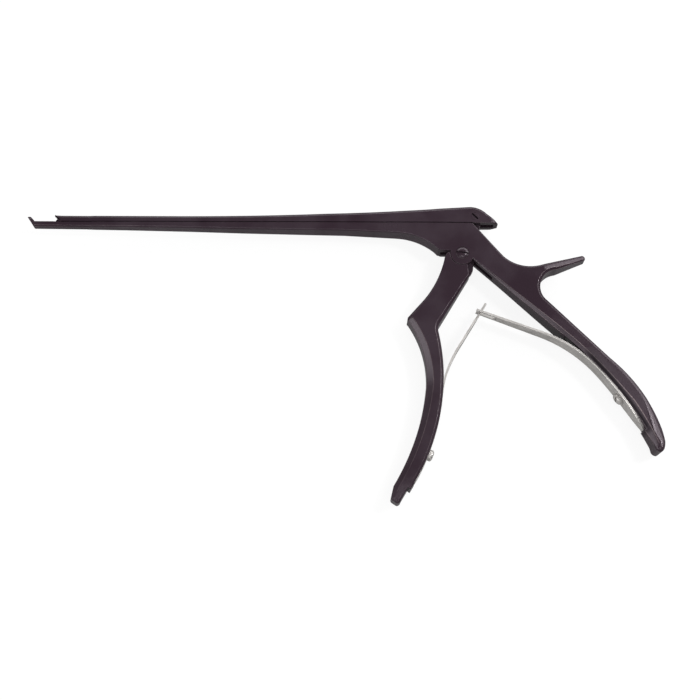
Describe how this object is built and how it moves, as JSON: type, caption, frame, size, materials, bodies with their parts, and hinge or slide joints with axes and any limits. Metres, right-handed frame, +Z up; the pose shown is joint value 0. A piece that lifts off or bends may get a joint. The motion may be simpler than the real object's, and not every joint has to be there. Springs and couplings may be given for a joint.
{
  "type": "bone rongeur",
  "caption": "Hand-squeezed bone punch: a long slim shaft with an upturned footplate, a sliding cutter, two handles on a pivot and interlocked leaf springs that open them.",
  "frame": {"origin": "centre of the bounding box's floor: the instrument lies on its side, as on a tray", "axes": "+X from the jaw back along the shaft, +Y from the grips up to the slide, +Z up, along the pivot"},
  "size_m": [0.2782, 0.1336, 0.012],
  "materials": {
    "coated_steel": "satin black coating",
    "spring_steel": "satin"
  },
  "bodies": {
    "frame": {"frame": "coated_steel", "pivot_screw": "coated_steel", "rear_leaf_spring": "spring_steel", "rear_spring_screw": "spring_steel"},
    "trigger": {"trigger": "coated_steel", "front_leaf_spring": "spring_steel", "front_spring_screw": "spring_steel"},
    "slide": {"slide": "coated_steel", "drive_screw": "coated_steel"}
  },
  "joints": [
    {"name": "trigger_squeeze", "type": "hinge", "parent": "frame", "child": "trigger", "pos_m": [0.05469, 0.04435, 0.006], "axis": [0, 0, 1], "range_deg": [0, 34.9], "stiffness_Nm_per_rad": 1.2, "springref_deg": -17.19, "deforming": ["front_leaf_spring", "rear_leaf_spring"]},
    {"name": "slide_travel", "type": "slide", "parent": "frame", "child": "slide", "axis": [-1, 0, 0], "range_m": [0, 0.01101]}
  ],
  "couplings": [
    {"joint": "slide_travel", "follows": "trigger_squeeze", "m_per_rad": 0.01807}
  ]
}
